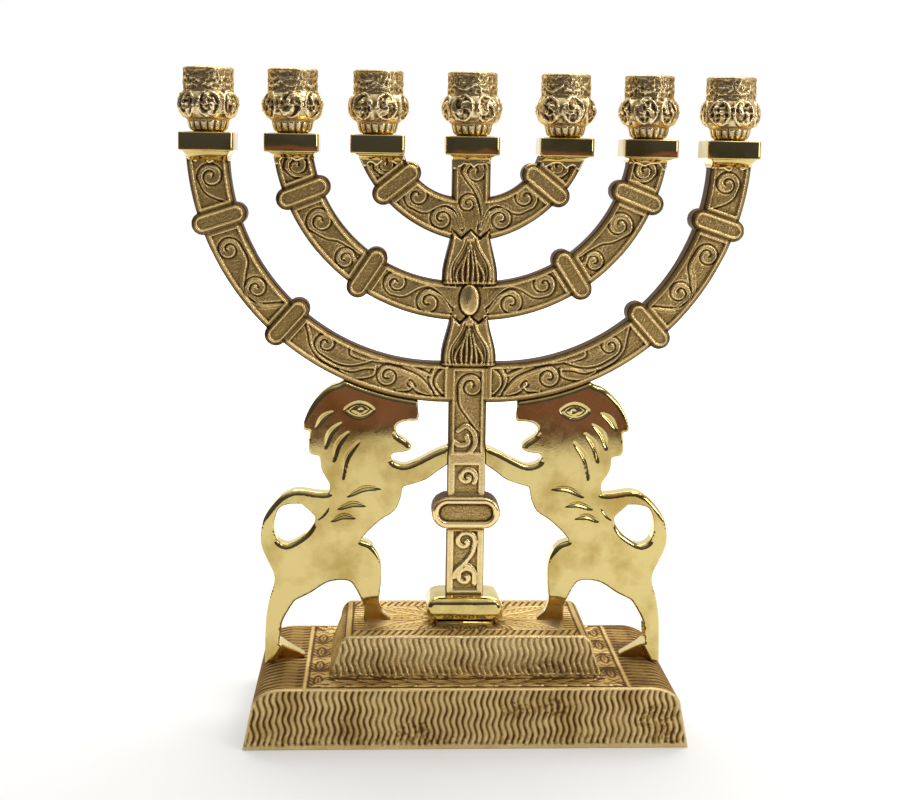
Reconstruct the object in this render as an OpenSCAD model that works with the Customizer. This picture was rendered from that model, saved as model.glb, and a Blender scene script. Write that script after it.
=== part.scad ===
// Seven-branched menorah in cast brass: a stepped base, a flat branching frame
// with a lion on each side of the stem, and seven candle cups held by screws.
// +X is to the right, +Y is away from the viewer, +Z is up.
// The origin is the middle of the base's underside.

/* [Base] */
// Width of the base at its foot
base_w = 158; // [152:1:164]
// Width of the flat top of the lower step
lower_top_w = 130; // [126:1:134]
// Depth of the lower step
lower_d = 67.4; // [62:0.2:72]
// Height of the lower step
lower_h = 21.7; // [21:0.1:22.5]
// Width of the upper step where it meets the lower step
upper_foot_w = 98.6; // [95:0.2:102]
// Width of the flat top of the upper step
upper_top_w = 84; // [81:1:87]
// Depth of the upper step
upper_d = 41; // [38:0.5:44]
// Height of both steps together
base_h = 36.3; // [35:0.1:37]
// Thickness of the casting's walls
base_wall = 3.5; // [3:0.1:4]

/* [Stem] */
// Width of the stem
stem_w = 13.8; // [13.4:0.2:14.2]
// Thickness of the stem
stem_t = 8.6; // [8:0.2:10]
// Width of the foot block
foot_w = 28.4; // [26:0.2:32]
// Depth of the foot block
foot_d = 19; // [17:1:22]
// Height of the foot block
foot_h = 11; // [10.8:0.2:12]
// Length of the oval knob across the stem
knob_l = 25.4; // [23:0.2:28]
// Height of the oval knob
knob_h = 12; // [10:0.5:13]
// Height of the knob's centre above the table
knob_z = 78.3; // [74:0.1:82]
// Width of the bells at their widest
bell_w = 20.2; // [19:0.2:20.6]

/* [Arms] */
// Thickness of the arms
arm_t = 8; // [7:0.2:8.4]
// Distance from the stem to the inner cups
inner_x = 34.1; // [33.5:0.1:34.7]
// Distance from the stem to the middle cups
middle_x = 64.8; // [64.2:0.1:65.4]
// Distance from the stem to the outer cups
outer_x = 95; // [94.4:0.1:95.6]
// Length of the oval knops across an arm
knop_l = 20.4; // [19:0.2:22]
// Width of the oval knops along an arm
knop_w = 8.2; // [7.6:0.2:9]
// Thickness of the knops
knop_t = 9.6; // [9:0.2:11]

/* [Platforms and cups] */
// Height of the platforms' top faces above the table
platform_z = 217; // [216:0.2:218]
// Width of a platform
platform_w = 19.6; // [19:0.2:20.4]
// Depth of a platform
platform_d = 18; // [17:0.5:20]
// Thickness of a platform
platform_h = 6.8; // [6.4:0.2:7.2]
// Height of a candle cup
cup_h = 23; // [22:0.5:26]
// Diameter of a cup's neck
cup_neck_d = 18; // [17.4:0.2:19]
// Diameter of a cup's round belly
cup_belly_d = 21.8; // [21:0.2:23]
// Diameter of the candle bore
candle_d = 13.5; // [12.5:0.1:13.7]
// Depth of the candle bore
candle_depth = 15; // [13:0.5:15]

/* [Lions] */
// Thickness of the lions
lion_t = 7; // [6:0.2:8]

/* [Fasteners] */
// Diameter of the cup screws
cup_screw_d = 4; // [3:1:4]
// Diameter of the bolt that holds the stem to the base
stem_bolt_d = 6; // [5:1:6]
// Diameter of the screws that hold the lions' feet
lion_screw_d = 3; // [2.5:0.5:3]

/* [Hidden] */
$fn = 48;

LEFT = -1;
RIGHT = 1;
over = 1;            // how far a cutter runs past a face
running_gap = 0.05;  // radial and axial play of a cup on its screw
thread_gap = 0.03;   // radial play drawn in a tapped hole

cast_brass = [0.55, 0.44, 0.25];
bright_brass = [0.83, 0.70, 0.38];
cup_brass = [0.72, 0.59, 0.34];
steel = [0.62, 0.62, 0.60];

arm_top_z = platform_z - platform_h;
foot_top_z = base_h + foot_h;
lower_ceiling = lower_h - base_wall;
upper_ceiling = base_h - base_wall;
cup_x = [-outer_x, -middle_x, -inner_x, 0, inner_x, middle_x, outer_x];

cup_floor = 4;
cup_pocket_r = 4.2;
cup_screw_depth = 8;
stem_bolt_reach = 9.2;
washer_h = 1.5;
lion_screw_reach = 4.5;
front_foot_x = 34;
rear_foot_x = 66.5;

// One arm is the space between two circles. An edge is [x under the platform,
// height of its lowest point, radius], and an arm is [cup x, its lower and outer
// edge, its upper and inner edge, angles of its knops below the horizontal].
inner_arm = [inner_x, [inner_x + 7.2, 178.5, 48.5], [inner_x - 9.5, 194.9, 21.9], [39]];
middle_arm = [middle_x, [middle_x + 6.8, 150, 69.6], [middle_x - 7.2, 164, 53.5], [21.7, 56.6]];
outer_arm = [outer_x, [outer_x + 7.7, 119.6, 95.7], [outer_x - 7.4, 134.2, 76.7], [18.3, 48.3]];

function mirrored(points) = [for (i = [len(points) - 1:-1:0]) [-points[i][0], points[i][1]]];

function ellipse_arc(cx, cy, rx, ry, from, to, steps = 10) =
    [for (i = [0:steps]) let (a = from + (to - from) * i / steps)
        [cx + rx * cos(a), cy + ry * sin(a)]];

// A point on the smooth curve from b to c, with a and d as the points around them.
function curve_point(a, b, c, d, t) =
    0.5 * (2 * b + t * (c - a) + t * t * (2 * a - 5 * b + 4 * c - d)
        + t * t * t * (3 * b - a - 3 * c + d));

// A smooth open curve through the given points.
function smooth(p, steps = 4) = let (n = len(p)) concat(
    [for (i = [0:n - 2], k = [0:steps - 1])
        curve_point(p[max(i - 1, 0)], p[i], p[i + 1], p[min(i + 2, n - 1)], k / steps)],
    [p[n - 1]]);

// Stands a flat outline up in the plane of the frame.
module upright(thickness) {
    rotate([90, 0, 0]) linear_extrude(height = thickness, center = true) children();
}

module side(s) {
    mirror([s == LEFT ? 1 : 0, 0, 0]) children();
}

// A flat shape with two round ends, lying along x.
module oval(length, width) {
    square([length - width, width], center = true);
    for (end = [LEFT, RIGHT]) translate([end * (length - width) / 2, 0]) circle(d = width);
}

// ---- base ----

module step_outline(top_w, bottom_w, low, high, shoulder_w, shoulder_h) {
    right = concat([[bottom_w / 2, low]],
        ellipse_arc(top_w / 2, high - shoulder_h, shoulder_w, shoulder_h, 0, 90));
    polygon(concat(right, mirrored(right)));
}

module lower_outline() {
    step_outline(lower_top_w, base_w, 0, lower_h, 11, 6.4);
}

module upper_outline() {
    step_outline(upper_top_w, upper_foot_w, lower_h, base_h, 3.9, 5.3);
}

module base_outline() {
    lower_outline();
    upper_outline();
}

module block(w, d, low, high) {
    translate([-w / 2, -d / 2, low]) cube([w, d, high - low]);
}

module lion_screw_places() {
    for (s = [LEFT, RIGHT]) {
        translate([s * front_foot_x, 0, upper_ceiling]) children();
        translate([s * rear_foot_x, 0, lower_ceiling]) children();
    }
}

module base() {
    color(cast_brass) difference() {
        union() {
            upright(lower_d) lower_outline();
            upright(upper_d) upper_outline();
        }
        block(lower_top_w + 10, lower_d - 2 * base_wall, -over, lower_ceiling);
        block(upper_top_w - 2, upper_d - 2 * base_wall, 0, upper_ceiling);
        cylinder(d = stem_bolt_d + 0.4, h = base_h + over);
        lion_screw_places() cylinder(d = lion_screw_d + 0.2, h = base_wall + over);
    }
}

// ---- stem ----

// A bell hangs over an arm: its side swells in a wave that peaks just above the lip.
module bell_outline(top, lip) {
    right = [for (i = [0:12]) let (t = i / 12)
        [stem_w / 2 + (bell_w - stem_w) / 4 * (1 - cos(200 * t)), top + (lip - top) * t]];
    polygon(concat(right, mirrored(right)));
}

module bells() {
    bell_outline(184, 163.4);
    bell_outline(153, 133.4);
}

module foot_outline() {
    r = 4;
    right = concat(
        [[foot_w / 2 - 2.2, base_h], [foot_w / 2 - 2.2, base_h + 2]],
        ellipse_arc(foot_w / 2 - r, base_h + 2 + r, r, r, -60, 0, 6),
        ellipse_arc(foot_w / 2 - r, foot_top_z - r, r, r, 0, 90, 6));
    polygon(concat(right, mirrored(right)));
}

module stem_outline() {
    translate([-stem_w / 2, foot_top_z - over]) square([stem_w, arm_top_z - foot_top_z + 2 * over]);
    bells();
}

module bud_outline() {
    polygon(ellipse_arc(0, 157.6, 3.7, 5.2, 0, 345, 23));
}

// The block under a cup, with a sloping underside that spreads the load into the arm.
module platform(x, arm_w) {
    half_t = arm_t / 2;
    translate([x - platform_w / 2, -platform_d / 2, arm_top_z])
        cube([platform_w, platform_d, platform_h]);
    translate([x - arm_w / 2, 0, 0]) rotate([90, 0, 90]) linear_extrude(height = arm_w) polygon([
        [-platform_d / 2 + 1, arm_top_z], [-half_t, arm_top_z - 3],
        [half_t, arm_top_z - 3], [platform_d / 2 - 1, arm_top_z],
    ]);
}

module cup_screw_hole(x) {
    translate([x, 0, platform_z - cup_screw_depth - over])
        cylinder(d = cup_screw_d + 2 * thread_gap, h = cup_screw_depth + 2 * over);
}

module stem() {
    color(cast_brass) difference() {
        union() {
            upright(stem_t) stem_outline();
            upright(stem_t + 2) bells();
            upright(stem_t + 2.4) bud_outline();
            upright(foot_d) foot_outline();
            upright(stem_t + 4) translate([0, knob_z]) oval(knob_l, knob_h);
            platform(0, stem_w);
        }
        cup_screw_hole(0);
        translate([0, 0, base_h - over])
            cylinder(d = stem_bolt_d + 2 * thread_gap, h = stem_bolt_reach + 2 * over);
    }
}

// ---- arms ----

// Centre of an edge's circle, which passes through the edge's point under the platform.
function edge_centre(edge) = let (z = edge[1] + edge[2])
    [edge[0] - sqrt(edge[2] * edge[2] - pow(z - arm_top_z, 2)), z];

module edge_circle(edge) {
    translate(edge_centre(edge)) circle(r = edge[2], $fn = 180);
}

module arm_outline(arm) {
    difference() {
        intersection() {
            edge_circle(arm[1]);
            square([outer_x + platform_w, arm_top_z + over]);
        }
        edge_circle(arm[2]);
        stem_outline();
    }
}

module knops(arm) {
    centre = (edge_centre(arm[1]) + edge_centre(arm[2])) / 2;
    middle_r = (arm[1][2] + arm[2][2]) / 2;
    for (a = arm[3])
        translate(centre) rotate(-a) translate([middle_r, 0]) oval(knop_l, knop_w);
}

module arm(arm, s) {
    color(cast_brass) side(s) difference() {
        union() {
            upright(arm_t) arm_outline(arm);
            upright(knop_t) knops(arm);
            platform(arm[0], stem_w);
        }
        cup_screw_hole(arm[0]);
    }
}

// ---- lions ----

// Outline of the lion on the right, walked from its mane down the back, the tail,
// the legs and the belly, out along the raised paw and up over the open mouth.
lion_points = concat(
    smooth([[40, 134], [45.7, 127.2], [50.9, 124.9], [55.3, 121.1], [58.3, 116.5], [60.1, 111.9],
        [60.3, 108.8]]),
    smooth([[57.9, 108.6], [58.4, 102.4], [57.6, 99.8], [54.2, 99.2]]),
    smooth([[53.8, 94.5], [52, 91.2], [50.4, 88.5], [50.7, 85.2]]),
    smooth([[55.3, 85.3], [62, 86.3], [66.4, 85.1], [70, 82.4], [74.4, 76.2], [75.9, 69.2],
        [75.2, 64.2], [73.1, 59.5], [70.6, 52.9], [72.6, 44.7], [73.9, 35.7], [74, 22], [74, 12]]),
    [[59.5, 12], [59.5, 23.2]],
    smooth([[68.8, 28.2], [67.9, 35.7], [65.6, 40.5], [63.2, 44.4]]),
    smooth([[57.2, 47.4], [52.1, 50.9], [48.5, 52], [45, 52.2], [42.3, 51.4], [39.8, 47.5],
        [37.6, 42.7]]),
    [[37.4, 32], [27.6, 32], [27.6, 37.2]],
    smooth([[30.6, 39.6], [31.9, 43.7], [31.6, 47.7], [31.2, 53], [31.4, 59], [33.1, 63.4],
        [35.4, 66], [39.2, 67.3]]),
    smooth([[36.2, 70.9], [31.3, 75.3], [26.7, 78.4], [24.5, 82.7], [23.6, 87.7]]),
    smooth([[19.3, 88.9], [15, 90.5], [10.8, 93.6], [6.4, 96.6]]),
    smooth([[6.4, 103.3], [12.1, 100.9], [18.1, 97.7], [22.9, 95.9], [26.8, 97], [27.9, 99],
        [27.6, 100.4]]),
    smooth([[23.7, 100.7], [20.8, 101.8], [20.4, 103], [22.2, 104.9], [25.5, 107.1], [26.4, 109.8],
        [24.6, 111.8], [21.6, 112.5]]),
    smooth([[18.2, 112.5], [17.9, 114.8], [18.3, 118], [18.3, 126]]));

tail_loop = concat(
    smooth([[60.9, 81.2], [65.8, 80.9], [69.2, 79.3], [70.8, 74.3], [70.7, 70.4], [69.2, 67],
        [66.2, 65.6], [62.1, 67.5], [58.3, 70.6], [55.8, 74.5]]),
    [[55.7, 76.4]]);

module lion_outline() {
    difference() {
        polygon(lion_points);
        polygon(tail_loop);
        edge_circle(outer_arm[1]);
        stem_outline();
        base_outline();
    }
}

module lion(s) {
    color(bright_brass) side(s) difference() {
        upright(lion_t) lion_outline();
        translate([front_foot_x, 0, upper_ceiling])
            cylinder(d = lion_screw_d + 2 * thread_gap, h = base_wall + lion_screw_reach + over);
        translate([rear_foot_x, 0, lower_ceiling])
            cylinder(d = lion_screw_d + 2 * thread_gap, h = base_wall + lion_screw_reach + over);
    }
}

// ---- candle cups ----

module cup_profile() {
    belly_r = cup_belly_d / 2;
    neck_r = cup_neck_d / 2;
    polygon(concat(
        [[0, 0], [5.4, 0], [6.6, 1.7], [7.2, 4]],
        ellipse_arc(belly_r - 6, 9.9, 6, 6, -60, 46, 12),
        [[neck_r, 14.7], [neck_r, cup_h - 0.6], [neck_r - 0.6, cup_h], [0, cup_h]]));
}

module cup(i) {
    bore_floor = cup_h - candle_depth;
    color(cup_brass) translate([cup_x[i - 1], 0, platform_z]) difference() {
        rotate_extrude() cup_profile();
        translate([0, 0, bore_floor]) cylinder(d = candle_d, h = candle_depth + over);
        translate([0, 0, cup_floor]) cylinder(r = cup_pocket_r, h = bore_floor - cup_floor + over);
        translate([0, 0, -over])
            cylinder(d = cup_screw_d + 2 * running_gap, h = cup_floor + 2 * over);
    }
}

// ---- fasteners ----

// A screw with a slotted cheese head. The head's underside is at z = 0, and the shank points down.
module slotted_screw(d, head_d, head_h, reach) {
    difference() {
        cylinder(d = head_d, h = head_h);
        translate([-head_d / 2 - over, -0.45, head_h * 0.55])
            cube([head_d + 2 * over, 0.9, head_h]);
    }
    translate([0, 0, -reach]) cylinder(d = d, h = reach + 0.01);
}

module cup_screws() {
    grip = cup_floor + running_gap;
    color(steel) for (x = cup_x) translate([x, 0, platform_z + grip])
        slotted_screw(cup_screw_d, 7, 2.4, grip + cup_screw_depth);
}

module stem_bolt() {
    color(steel) translate([0, 0, upper_ceiling - washer_h]) {
        translate([0, 0, -4]) cylinder(d = 11, h = 4, $fn = 6);
        cylinder(d = stem_bolt_d, h = washer_h + base_wall + stem_bolt_reach);
    }
}

module stem_washer() {
    color(steel) translate([0, 0, upper_ceiling - washer_h]) difference() {
        cylinder(d = 14, h = washer_h);
        translate([0, 0, -over]) cylinder(d = stem_bolt_d + 0.2, h = washer_h + 2 * over);
    }
}

module lion_screws() {
    color(steel) lion_screw_places() rotate([180, 0, 0])
        slotted_screw(lion_screw_d, 5.5, 2, base_wall + lion_screw_reach);
}

base();
stem();
arm(inner_arm, LEFT);  // arm_inner_left
arm(inner_arm, RIGHT);  // arm_inner_right
arm(middle_arm, LEFT);  // arm_middle_left
arm(middle_arm, RIGHT);  // arm_middle_right
arm(outer_arm, LEFT);  // arm_outer_left
arm(outer_arm, RIGHT);  // arm_outer_right
lion(LEFT);  // lion_left
lion(RIGHT);  // lion_right
cup(1);  // cup_1
cup(2);  // cup_2
cup(3);  // cup_3
cup(4);  // cup_4
cup(5);  // cup_5
cup(6);  // cup_6
cup(7);  // cup_7
cup_screws();
stem_bolt();
stem_washer();
lion_screws();
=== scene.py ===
"""Looks of the seven-branched menorah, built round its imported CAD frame.

Shapes are worked out in millimetres in the plane of the frame, x to the right
and z up, and turned into metres when a mesh is made.
"""
import math

import bpy
import numpy as np
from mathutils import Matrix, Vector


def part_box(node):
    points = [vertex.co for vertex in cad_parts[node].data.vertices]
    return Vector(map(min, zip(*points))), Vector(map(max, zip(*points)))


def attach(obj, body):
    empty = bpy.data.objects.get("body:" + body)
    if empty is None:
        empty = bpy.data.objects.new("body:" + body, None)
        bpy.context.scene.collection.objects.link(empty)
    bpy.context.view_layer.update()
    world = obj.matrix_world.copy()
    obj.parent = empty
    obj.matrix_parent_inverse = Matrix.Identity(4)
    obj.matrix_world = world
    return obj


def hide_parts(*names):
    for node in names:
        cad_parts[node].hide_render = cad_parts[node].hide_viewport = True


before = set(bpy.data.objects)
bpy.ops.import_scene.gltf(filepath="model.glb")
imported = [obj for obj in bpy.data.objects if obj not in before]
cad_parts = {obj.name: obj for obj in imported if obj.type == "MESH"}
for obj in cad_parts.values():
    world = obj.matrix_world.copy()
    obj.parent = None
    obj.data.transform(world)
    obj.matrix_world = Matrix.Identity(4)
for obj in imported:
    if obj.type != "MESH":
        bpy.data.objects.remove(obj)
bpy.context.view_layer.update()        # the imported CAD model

MM = 0.001
BODY = "candelabrum"
rng = np.random.default_rng(7)


# ---- sizes read from the frame ----

def box_mm(node):
    low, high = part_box(node)
    return np.array(low) / MM, np.array(high) / MM


CUP_BOXES = [box_mm("cup_%d" % i) for i in range(1, 8)]
CUP_X = [(low[0] + high[0]) / 2 for low, high in CUP_BOXES]
PLATFORM_Z = CUP_BOXES[3][0][2]
CUP_H = CUP_BOXES[3][1][2] - PLATFORM_Z
BASE_W, LOWER_D, BASE_H = np.diff(box_mm("base"), axis=0)[0]
FOOT_W, FOOT_D, _ = np.diff(box_mm("stem"), axis=0)[0]
LION_T = box_mm("lion_right")[1][1] * 2

# ---- driving dimensions of the frame, in mm ----

PLATFORM_W, PLATFORM_D, PLATFORM_H = 19.6, 18.0, 6.8
ARM_TOP = PLATFORM_Z - PLATFORM_H
HALF_T = 4.3                       # half thickness of the stem and arms at their borders
STEM_HALF = 6.9
FOOT_TOP = BASE_H + 11
KNOB = dict(z=78.3, length=25.4, height=12.0)
KNOP_L, KNOP_W = 20.4, 8.2
BELLS = [(184.0, 163.4), (153.0, 133.4)]
BELL_HALF = 10.1
BUD = (157.6, 3.5, 5.6)

# An arm lies between two circles: [x from the cup's, height of its lowest point, radius]
ARMS = {
    "inner": dict(cup=CUP_X[4], low=(7.2, 178.5, 48.5), high=(-9.5, 194.9, 21.9), knops=(39,)),
    "middle": dict(cup=CUP_X[5], low=(6.8, 150, 69.6), high=(-7.2, 164, 53.5), knops=(21.7, 56.6)),
    "outer": dict(cup=CUP_X[6], low=(7.7, 119.6, 95.7), high=(-7.4, 134.2, 76.7), knops=(18.3, 48.3)),
}

# Scrolls of each arm: ((degrees below level, offset outward), radius, the side it
# leaves by, then the points of its tail). "outer" is the lower edge of the arm.
SCROLLS = {
    "inner": [
        ((26, 0), 3.6, "outer", [(30, 2.2), (32.2, -1.2)]),
        ((53.3, -2), 4.3, "outer", [(62, 1.2), (69, -3.2), (74, -4.5), (80, -2.6), (85, 3)]),
        ((72.6, 1.2), 3.9, "inner", [(79, -1.8), (84, 3.4)]),
    ],
    "middle": [
        ((12.3, -0.6), 3.9, "outer", [(15.2, 1.2), (17, -3.6)]),
        ((32.9, -1), 4.6, "outer", [(38.4, 0.6), (42.7, -2.7), (52.8, -4.3)]),
        ((48, 0.9), 3.5, "inner", [(51, -1.2), (53.4, -3.6)]),
        ((67, -1.9), 4.2, "outer", [(71, 1.2), (75, -3), (79, -4.6), (83.5, -2.6), (87.4, 1.6)]),
        ((79.6, 1.4), 4.2, "inner", [(83.6, -1.4), (87, 3)]),
    ],
    "outer": [
        ((8, -0.6), 4.2, "outer", [(11.6, 1.6), (14.6, -4.4)]),
        ((26, 1), 3.8, "inner", [(30.2, -2.6), (33, 0.8), (36.4, 4.2), (40.5, 3.3), (44.8, -4)]),
        ((37.2, -0.2), 3.9, "outer", [(40.5, 2.6)]),
        ((59, -2.2), 3.6, "outer", [(63.5, 1.6), (67, 0.2), (71, -3.6)]),
        ((76.2, 0.2), 3.8, "inner", [(80, -2.9), (84, -1), (87.2, 3.6)]),
    ],
}
# Plain raised lines of the outer arm: leaves, and the palmette beside the stem
OUTER_LINES = [
    [(52.3, -4.5), (54.4, -2), (56.8, 1.4), (60, 3.2), (64, 3.4)],
    [(65.4, -4.9), (66.1, -3.2), (69, -3.4), (73, -4.4), (78.5, -5.2)],
    [(64.4, 3.2), (67.6, 2.2), (70, -0.2), (72.6, -1.6)],
    [(65, 3.9), (69, 4.2), (72.4, 1.4), (72.8, -1.4)],
    [(79, 4.4), (81.4, 3.6), (82.6, 2), (81.9, 0.9)],
    [(81.8, 1.4), (84.2, 3.6), (86.4, 4.4)],
    [(90, -5), (88.4, -2.6), (88.2, 0.6), (89.8, 3.8)],
    [(87.6, -5.2), (86.6, -2.6), (84.4, -3.6), (81.6, -5)],
    [(86.6, -1.4), (87.2, 1.2), (88.4, 4.4)],
]
# The same on the stem, as (x, z), with the angle that each spiral leaves by and its turn
STEM_SCROLLS = [
    ((1.2, 204.2), 4.2, (180, 1), [(-1.2, 201.4), (1.4, 198), (3.4, 193), (3.9, 187), (3.2, 183)]),
    ((-1.2, 192.8), 3.0, (0, -1), [(2.6, 190.4), (3.2, 186.4)]),
    ((1.2, 125.6), 4.3, (180, 1), [(-2.6, 119), (0.6, 114), (3.6, 109.7)]),
]
BROAD_SCROLLS = [
    ((0.2, 91.6), 3.3, (0, -1), [(2.9, 89.6)]),
    ((-0.2, 67.2), 3.9, (0, -1), [(2.4, 62.6), (-0.6, 58.7), (-3.2, 56.2), (-4, 53.6)]),
    ((0.2, 53.6), 3.6, (20, -1), [(3.6, 51.2)]),
]
# Broad hooks where the polished part of the stem begins, and an arc lower down
STEM_HOOKS = [
    [(-3.4, 109.1), (-0.4, 110.8), (2.4, 108.4), (3, 104.4), (1, 101), (-2.6, 98.6)],
    [(-5.6, 105.6), (-2.8, 103.6), (0.2, 104.4), (-0.2, 107)],
    [(-0.6, 58.7), (1.8, 57.6), (3.8, 55)],
]

BORDER = 1.7                       # from an edge to the thin ridge beside the panel
RIDGE_H, RIDGE_W, LOW_BAND = 0.43, 0.26, 0.16
PANEL_DEPTH = 0.5
GRID = 0.3


# ---- flat shapes: signed distances, negative inside ----

def circle_sd(x, z, centre, radius):
    return np.hypot(x - centre[0], z - centre[1]) - radius


def band_sd(value, low, high):
    return np.maximum(low - value, value - high)


def turned(x, z, centre, angle):
    """Distances from a centre, along and across a direction at angle degrees from level."""
    c, s = math.cos(math.radians(angle)), math.sin(math.radians(angle))
    dx, dz = x - centre[0], z - centre[1]
    return dx * c + dz * s, dz * c - dx * s


def stadium_sd(x, z, centre, angle, length, width):
    """An oval with two round ends."""
    along, across = turned(x, z, centre, angle)
    half = (length - width) / 2
    return np.hypot(along - np.clip(along, -half, half), across) - width / 2


def polygon_sd(x, z, loops):
    """Signed distance to closed loops of points, holes being loops inside loops."""
    best = np.full(x.shape, 1e9)
    inside = np.zeros(x.shape, bool)
    for loop in loops:
        for a, b in zip(loop, np.roll(loop, -1, 0)):
            ex, ez = b - a
            t = clamp(((x - a[0]) * ex + (z - a[1]) * ez) / max(ex * ex + ez * ez, 1e-12))
            best = np.minimum(best, np.hypot(x - a[0] - t * ex, z - a[1] - t * ez))
            crosses = (a[1] > z) != (b[1] > z)
            if ez:
                inside ^= crosses & (x < ex * (z - a[1]) / ez + a[0])
    return np.where(inside, -best, best)


def clamp(value):
    return np.clip(value, 0, 1)


def step(low, high, value):
    """0 below low and 1 above high, with a smooth rise between them."""
    t = clamp((value - low) / (high - low))
    return t * t * (3 - 2 * t)


def hump(value, width):
    """1 along a line, falling off smoothly to each side."""
    return np.exp(-(value / width) ** 2)


def edge_drop(depth, radius):
    """How far a rounded edge has fallen, at a depth inside the outline."""
    t = clamp(1 - depth / radius)
    return radius * (1 - np.sqrt(1 - t * t * 0.98))


def arm_edge(arm, edge):
    offset, low, radius = arm[edge]
    z = low + radius
    return (arm["cup"] + offset - math.sqrt(radius ** 2 - (z - ARM_TOP) ** 2), z), radius


def arm_middle(arm):
    (ca, ra), (cb, rb) = arm_edge(arm, "low"), arm_edge(arm, "high")
    return ((ca[0] + cb[0]) / 2, (ca[1] + cb[1]) / 2), (ra + rb) / 2


def on_arm(arm, place):
    centre, radius = arm_middle(arm)
    a = math.radians(place[0])
    r = radius + place[1]
    return centre[0] + r * math.cos(a), centre[1] - r * math.sin(a)


def arm_sd(arm, x, z):
    low, high = arm_edge(arm, "low"), arm_edge(arm, "high")
    body = np.maximum(circle_sd(x, z, *low), -circle_sd(x, z, *high))
    return np.maximum(body, z - ARM_TOP)


def knop_sds(arm, x, z):
    return [stadium_sd(x, z, on_arm(arm, (a, 0)), -a, KNOP_L, KNOP_W) for a in arm["knops"]]


def bell_sd(x, z, top, lip):
    t = clamp((z - top) / (lip - top))
    return np.maximum(np.abs(x) - bell_half(t), np.maximum(z - top, lip - z))


def stem_sd(x, z):
    return np.maximum(np.abs(x) - STEM_HALF, np.maximum(FOOT_TOP - 1 - z, z - ARM_TOP))


def knob_sd(x, z):
    return stadium_sd(x, z, (0, KNOB["z"]), 0, KNOB["length"], KNOB["height"])


def post_sd(x, z):
    """The stem with its knob and bells."""
    return np.minimum.reduce([stem_sd(x, z), knob_sd(x, z)] + [bell_sd(x, z, *bell) for bell in BELLS])


# ---- curves ----

def smooth_curve(points, gap=0.2):
    """A Catmull-Rom curve through points, about gap mm from one to the next."""
    p = np.array(points, float)
    p = np.vstack([2 * p[0] - p[1], p, 2 * p[-1] - p[-2]])
    out = []
    for a, b, c, d in zip(p, p[1:], p[2:], p[3:]):
        count = max(int(np.hypot(*(c - b)) / gap), 2)
        t = np.linspace(0, 1, count, endpoint=False)[:, None]
        out.append(0.5 * (2 * b + t * (c - a) + t * t * (2 * a - 5 * b + 4 * c - d)
                          + t ** 3 * (3 * b - a - 3 * c + d)))
    return np.vstack(out + [p[-2:-1]])


def spiral(centre, radius, leave, turn, turns=1.3):
    """From the middle of a spiral outward, to where it leaves at angle leave."""
    t = np.linspace(0, 1, 90)
    angle = np.radians(leave - turn * 360 * turns * (1 - t))
    r = radius * (0.16 + 0.84 * t ** 0.72)
    return np.stack([centre[0] + r * np.cos(angle), centre[1] + r * np.sin(angle)], 1)


def scroll_line(middle, tail):
    """A spiral that runs on into its tail."""
    return np.vstack([middle[:-1], smooth_curve([middle[-1]] + tail)])


def arm_scroll(arm, place, radius, side, tail):
    leave = -place[0] if side == "outer" else 180 - place[0]
    middle = spiral(on_arm(arm, place), radius, leave, -1 if side == "outer" else 1)
    return scroll_line(middle, [on_arm(arm, p) for p in tail])


def nearest(x, z, line, reach=3.0):
    """Distance of each point to a line, and on which side of it the point lies."""
    low, high = line.min(0) - reach, line.max(0) + reach
    near = np.flatnonzero((x > low[0]) & (x < high[0]) & (z > low[1]) & (z < high[1]))
    distance, side = np.full(x.shape, 99.0), np.ones(x.shape)
    tangent = np.gradient(line, axis=0)
    for part in np.array_split(near, max(1, len(near) * len(line) // 3000000)):
        dx = x[part, None] - line[None, :, 0]
        dz = z[part, None] - line[None, :, 1]
        k = np.argmin(dx * dx + dz * dz, 1)
        row = np.arange(len(part))
        distance[part] = np.hypot(dx[row, k], dz[row, k])
        side[part] = np.sign(tangent[k, 0] * dz[row, k] - tangent[k, 1] * dx[row, k])
    return distance, side


def normals(line):
    """Unit vectors square to a line, to the right of the way it runs."""
    tangent = np.gradient(line, axis=0)
    return np.stack([tangent[:, 1], -tangent[:, 0]], 1) / np.hypot(*tangent.T)[:, None]


class Relief:
    """Raised lines and cut grooves, gathered over a set of points."""

    def __init__(self, x, z):
        self.x, self.z = x, z
        self.raised = np.zeros(x.shape)
        self.cut = np.zeros(x.shape)

    def ridge(self, line, outside, band=0.0):
        """A thin ridge with a groove on its outside (1 or -1) and a low band on the other."""
        d, side = nearest(self.x, self.z, line)
        e = d * side * outside
        low_band = band * step(-1.5, -1.2, e) * step(0.2, 0, e)
        self.raised = np.maximum.reduce([self.raised, RIDGE_H * hump(d, RIDGE_W), low_band])
        self.cut = np.maximum(self.cut, 0.46 * hump(e - 0.9, 0.32))

    def ribbon(self, line):
        """A broad flat line, just above the borders' level."""
        d, _ = nearest(self.x, self.z, line)
        self.raised = np.maximum(self.raised, (PANEL_DEPTH + 0.1) * step(1.01, 0.69, d))

    def height(self):
        return self.raised - self.cut * (1 - step(0.1, 0.3, self.raised))


# ---- meshes ----

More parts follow.
